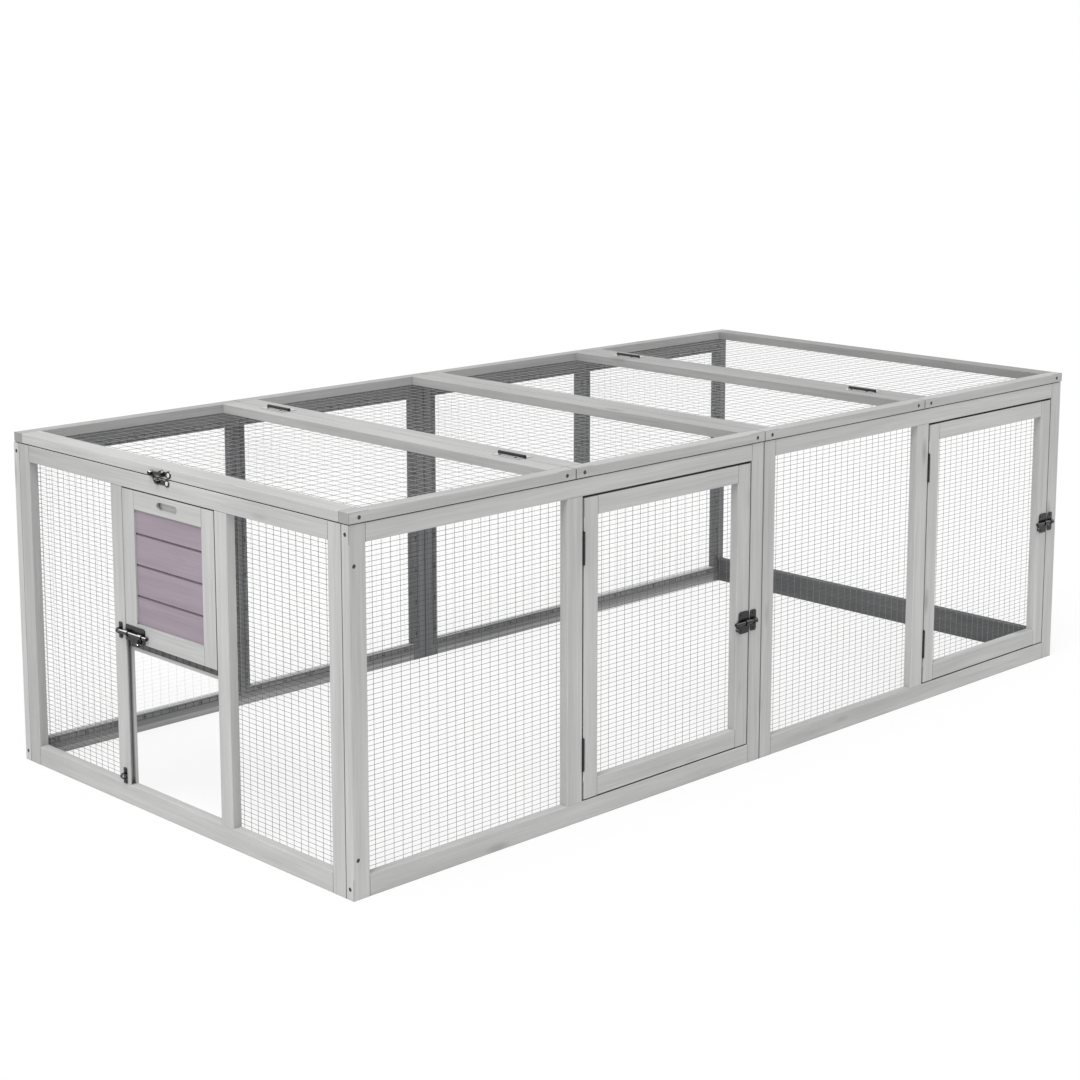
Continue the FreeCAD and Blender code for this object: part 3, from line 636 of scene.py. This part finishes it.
class Net:
    """The wires of one node's nets, as vertices, faces and a material number for each face."""

    def __init__(self, overlap, inside, beside):
        self.vertices = []
        self.faces = []
        self.numbers = []
        self.overlap = overlap
        self.inside = inside
        self.beside = beside

    def bar(self, points, radius, numbers):
        """A straight bar through points, with a material number for each part between two points."""
        prism(points, self.inside, radius, wire_sides, self.vertices, self.faces)
        for number in numbers:
            self.numbers += [number] * wire_sides
        self.numbers += [numbers[0], numbers[-1]]

    def wire(self, low, high, run, across, place, depth):
        """One wire along the axis run; its parts on the battens, and beside them on the side of the
        plain end, take the dark material."""
        thin = next(axis for axis in range(3) if axis not in (run, across))
        far = {axis: high[axis] - self.overlap - (self.beside if axis == x_axis else 0)
               for axis in (run, across)}
        edge = not low[across] + self.overlap <= place <= far[across]
        points = []
        for stop in (low[run], low[run] + self.overlap, far[run], high[run]):
            point = Vector()
            point[run], point[across], point[thin] = stop, place, depth
            points.append(point)
        self.bar(points, wire_radius, (seated_wire, seated_wire if edge else free_wire, seated_wire))

    def sheet(self, low, high):
        """Uprights and cross wires of one net, laid one on the other, and staples on a wall."""
        size = high - low
        thin = min(range(3), key=lambda i: size[i])
        wide, tall = [i for i in range(3) if i != thin]
        middle = (low[thin] + high[thin]) / 2
        lift = wire_radius * wire_lay_share
        level = thin == z_axis
        pitches = (roof_upright_pitch, roof_cross_pitch) if level else (upright_pitch, cross_pitch)
        for run, across, pitch, depth in ((tall, wide, pitches[0], middle - lift),
                                          (wide, tall, pitches[1], middle + lift)):
            span = size[across] - 2 * wire_radius
            count = round(span / pitch)
            for step in range(count + 1):
                place = low[across] + wire_radius + span * step / count
                self.wire(low, high, run, across, place, depth)
        if not level:
            for run, across in ((tall, wide), (wide, tall)):
                self.staples(low, high, run, across, thin, middle)

    def staples(self, low, high, run, across, thin, middle):
        """A row of staples along both edges that follow the axis run."""
        count = round((high[run] - low[run]) / staple_pitch)
        depth = middle + self.inside[thin] * 2 * wire_radius
        for place in (low[across] + staple_inset, high[across] - staple_inset):
            for step in range(count):
                centre = low[run] + (high[run] - low[run]) * (step + 0.5) / count
                start, end = Vector(), Vector()
                start[across] = end[across] = place
                start[thin] = end[thin] = depth
                start[run], end[run] = centre - staple_length / 2, centre + staple_length / 2
                self.bar((start, end), staple_radius, (seated_wire,))


def net_inside(node):
    """The direction from a net's wall or roof into the run."""
    if "roof" in node:
        return -axes["z"]
    if node.startswith("front"):
        return axes["y"]
    if node.startswith("back"):
        return -axes["y"]
    return axes["x"]


def wire_nets():
    """Fine wires in place of each node of nets."""
    on_wood = metal("wire_on_wood", *wood_wire_metal)
    made = {}
    for node in sorted(cad):
        if not node.endswith(("_net", "_nets")):
            continue
        inside = net_inside(node)
        key = tuple(inside)
        if key not in made:
            made[key] = net_wire("mesh_wire_%d" % len(made), inside)
        net = Net(roof_net_overlap if "roof" in node else wall_net_overlap, inside,
                  beside_post if node.startswith("back") else 0.0)
        for points in islands(node):
            net.sheet(Vector(points.min(0)), Vector(points.max(0)))
        obj = new_object(node + "_wires", net.vertices, net.faces, [made[key], on_wood],
                         node_body[node])
        obj.data.polygons.foreach_set("material_index", net.numbers)
        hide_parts(node)


def head_template():
    """A domed screw head of radius one with a cross recess, as vertices and faces."""
    vertices = [Vector((0, 0, head_dome_share))]
    faces = []
    for radius, height in head_rings:
        for step in range(head_sides):
            angle = 2 * math.pi * step / head_sides
            vertices.append(Vector((radius * math.cos(angle), radius * math.sin(angle),
                                    height * head_dome_share)))
    for step in range(head_sides):
        faces.append((0, 1 + step, 1 + (step + 1) % head_sides))
    for ring in range(len(head_rings) - 1):
        for step in range(head_sides):
            a = 1 + ring * head_sides + step
            b = 1 + ring * head_sides + (step + 1) % head_sides
            faces.append((a, a + head_sides, b + head_sides, b))
    last = 1 + (len(head_rings) - 1) * head_sides
    faces.append(tuple(last + step for step in reversed(range(head_sides))))
    dome = bpy.data.meshes.new("head")
    dome.from_pydata(vertices, [], faces)
    head = bpy.data.objects.new("head", dome)
    bpy.context.scene.collection.objects.link(head)
    cutters = []
    for turn in (0, math.pi / 2):
        bpy.ops.mesh.primitive_cube_add(size=1)
        cutter = bpy.context.object
        cutter.scale = (cross_length_share, cross_width_share, 2 * cross_depth_share)
        cutter.location = (0, 0, head_dome_share)
        cutter.rotation_euler = (0, 0, turn)
        modifier = head.modifiers.new("cross", "BOOLEAN")
        modifier.operation = "DIFFERENCE"
        modifier.object = cutter
        cutters.append(cutter)
    bpy.context.view_layer.update()
    mesh = bpy.data.meshes.new_from_object(head.evaluated_get(bpy.context.evaluated_depsgraph_get()))
    for obj in cutters + [head]:
        bpy.data.objects.remove(obj)
    return [v.co.copy() for v in mesh.vertices], [tuple(p.vertices) for p in mesh.polygons]


head_shape = head_template()


def screw_heads(node, places, radius, material):
    """One piece on a node's body, with a screw head at each (point, outward) place."""
    vertices = []
    faces = []
    for point, outward in places:
        first = len(vertices)
        turn = outward.to_track_quat("Z", "Y").to_matrix()
        vertices += [point + turn @ (corner * radius) for corner in head_shape[0]]
        faces += [tuple(first + i for i in face) for face in head_shape[1]]
    new_object(node + "_heads", vertices, faces, [material], node_body[node])


def small_heads(node):
    """Places of the small screw heads that stand on a plate or leaf."""
    out = (-axes["x"], -axes["y"], axes["z"])
    places = []
    for points in islands(node):
        low, high = Vector(points.min(0)), Vector(points.max(0))
        size = high - low
        if max(size) < small_head_limit:
            thin = min(range(3), key=lambda i: size[i])
            foot = (low + high) / 2 - out[thin] * (size[thin] / 2)
            places.append((foot, out[thin]))
    return places


def wood_screw_heads(node):
    """Outer ends of the sunk wood screws, where the head is wider than the shank."""
    places = []
    for points in islands(node):
        low, high = points.min(0), points.max(0)
        axis = int(np.argmax(high - low))
        others = [i for i in range(3) if i != axis]
        spread = {}
        for end in (low[axis], high[axis]):
            near = points[np.abs(points[:, axis] - end) < end_slack]
            spread[end] = (near[:, others].max(0) - near[:, others].min(0)).sum()
        end = max(spread, key=spread.get)
        point = Vector((low + high) / 2)
        point[axis] = end
        outward = Vector((0, 0, 0))
        outward[axis] = 1 if end == high[axis] else -1
        places.append((point - outward * wood_head_sink, outward))
    return places


def ear_heads(node):
    """Screws in the ears of the hook's plates, at the end of each plate nearer the front."""
    places = []
    for points in islands(node):
        centre = points[:, y_axis].min() + ear_radius
        ear = points[points[:, y_axis] < centre]
        height = (ear[:, z_axis].min() + ear[:, z_axis].max()) / 2
        places.append((Vector((ear[:, x_axis].min(), centre, height)), -axes["x"]))
    return places


def dress_hardware():
    """Black hinges and latches, with brighter painted highlights at the pop door and the lid's hook, and
    heads on the screws.
    """
    black_latch = latch_metal("black_hardware", dim_highlight)
    bright_latch = latch_metal("end_hardware", bright_highlight)
    hinge = hinge_metal()
    dark_steel = metal("dark_screws", *screw_metal)
    bright_steel = metal("zinc_screws", *zinc_metal)
    latch_ends = ("_pins", "_bolt_plate", "_bolt_rod", "_keepers", "_catch", "_hook", "_hook_plate")
    for node in cad:
        if node.endswith("_leaves"):
            paint(node, hinge)
        elif node.endswith(latch_ends):
            paint(node, bright_latch if node.startswith(("pop_door", "hook", "roof_lid")) else black_latch)
        elif node.endswith("_screws"):
            paint(node, dark_steel)
    for node in ("bolt_keepers", "front_door_left_bolt_plate", "front_door_right_bolt_plate",
                 "hinge_fixed_leaves", "roof_lid_left_hinge_leaves", "roof_lid_right_hinge_leaves"):
        screw_heads(node, small_heads(node), small_head_radius, black_latch)
    for node in ("frame_screws", "roof_lid_left_screws", "roof_lid_right_screws"):
        screw_heads(node, wood_screw_heads(node), wood_head_radius, dark_steel)
    for node in ("hook_catch", "roof_lid_left_hook_plate"):
        screw_heads(node, ear_heads(node), ear_head_radius, bright_steel)


# Camera, light and floor

def add_camera():
    data = bpy.data.cameras.new("camera")
    data.sensor_width = sensor_width_mm
    data.lens = sensor_width_mm * camera_focal_pixels / picture_pixels
    data.shift_y = (optical_axis_row - picture_pixels / 2) / picture_pixels
    camera = bpy.data.objects.new("camera", data)
    forward = Vector((math.cos(camera_pitch) * math.sin(camera_yaw),
                      math.cos(camera_pitch) * math.cos(camera_yaw), -math.sin(camera_pitch)))
    turn = forward.to_track_quat("-Z", "Y").to_matrix().to_4x4()
    camera.matrix_world = Matrix.Translation(camera_place) @ turn
    bpy.context.scene.collection.objects.link(camera)
    bpy.context.scene.camera = camera


def seen_directly(tree):
    """One for rays from the camera and for those that show in gloss or glass, else zero."""
    path = add(tree, "ShaderNodeLightPath").outputs
    return any_of(tree, [path["Is Camera Ray"], path["Is Glossy Ray"], path["Is Transmission Ray"]])


def add_light():
    world = bpy.data.worlds.new("white_surround")
    bpy.context.scene.world = world
    world.use_nodes = True
    tree = world.node_tree
    background = tree.nodes["Background"]
    background.inputs["Color"].default_value = (*white, 1)
    strength = ranged(tree, seen_directly(tree), result=(surround_strength, 1.0))
    tree.links.new(strength, background.inputs["Strength"])
    lamp = bpy.data.lights.new("soft_lamp", "SUN")
    lamp.energy = lamp_strength
    lamp.angle = lamp_spread
    obj = bpy.data.objects.new("soft_lamp", lamp)
    obj.matrix_world = lamp_from.to_track_quat("Z", "Y").to_matrix().to_4x4()
    bpy.context.scene.collection.objects.link(obj)


def add_floor():
    bpy.ops.mesh.primitive_plane_add(size=2 * floor_reach, location=(0, 0, 0))
    floor = bpy.context.object
    floor.name = "floor"
    material, tree, shader = new_material("white_floor")
    shader.inputs["Base Color"].default_value = (floor_albedo, floor_albedo, floor_albedo, 1)
    shader.inputs["Roughness"].default_value = floor_roughness
    shader.inputs["Specular IOR Level"].default_value = floor_gloss
    glow = add(tree, "ShaderNodeEmission", {"Color": (*white, 1), "Strength": 1.0})
    share = maths(tree, "MULTIPLY", seen_directly(tree), floor_white_share)
    both = add(tree, "ShaderNodeMixShader", {"Fac": share, 1: shader.outputs[0], 2: glow.outputs[0]})
    tree.links.new(both.outputs[0], tree.nodes["Material Output"].inputs["Surface"])
    floor.data.materials.append(material)


def main():
    paint_wood()
    wire_nets()
    dress_hardware()
    add_camera()
    add_light()
    add_floor()
    bpy.context.scene.view_settings.view_transform = "Standard"


main()
